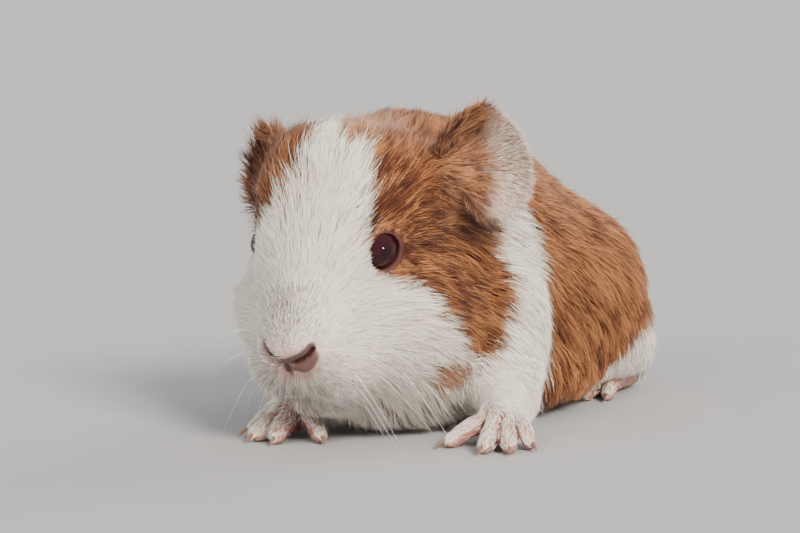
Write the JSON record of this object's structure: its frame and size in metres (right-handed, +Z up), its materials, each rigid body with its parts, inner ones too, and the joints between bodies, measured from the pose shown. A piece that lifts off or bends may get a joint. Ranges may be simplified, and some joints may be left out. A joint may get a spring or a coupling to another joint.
{
  "type": "guinea pig",
  "caption": "Young short-haired guinea pig resting on its belly and four feet, head lowered, a still life-size model with eyes, ears, paws and claws as separate pieces",
  "frame": {"origin": "on the floor, below the middle of the animal's bounding box", "axes": "+Z up; the body points along -Y, nose first, and the animal's left side is +X; the head is turned 4 degrees to its left and tipped 34 degrees down"},
  "size_m": [0.0898, 0.1486, 0.0828],
  "materials": {
    "coat_white": "short white fur",
    "coat_red": "short golden-red fur",
    "ear_skin": "thin bare skin with fine pale hairs",
    "paw_skin": "pink skin with sparse white hairs",
    "eye_ruby": "glossy dark ruby",
    "horn": "translucent claw horn, satin"
  },
  "bodies": {
    "root": {"foreleg_left": "coat_white", "forepaw_left": "paw_skin", "claw_fore_left_1": "horn", "claw_fore_left_2": "horn", "claw_fore_left_3": "horn", "claw_fore_left_4": "horn", "hindleg_left": "coat_red", "hindpaw_left": "paw_skin", "claw_hind_left_1": "horn", "claw_hind_left_2": "horn", "claw_hind_left_3": "horn", "foreleg_right": "coat_white", "forepaw_right": "paw_skin", "claw_fore_right_1": "horn", "claw_fore_right_2": "horn", "claw_fore_right_3": "horn", "claw_fore_right_4": "horn", "hindleg_right": "coat_red", "hindpaw_right": "paw_skin", "claw_hind_right_1": "horn", "claw_hind_right_2": "horn", "claw_hind_right_3": "horn", "eye_left": "eye_ruby", "ear_left": "ear_skin", "eye_right": "eye_ruby", "ear_right": "ear_skin", "head": "coat_white", "neck": "coat_white", "torso": "coat_red"}
  },
  "joints": []
}
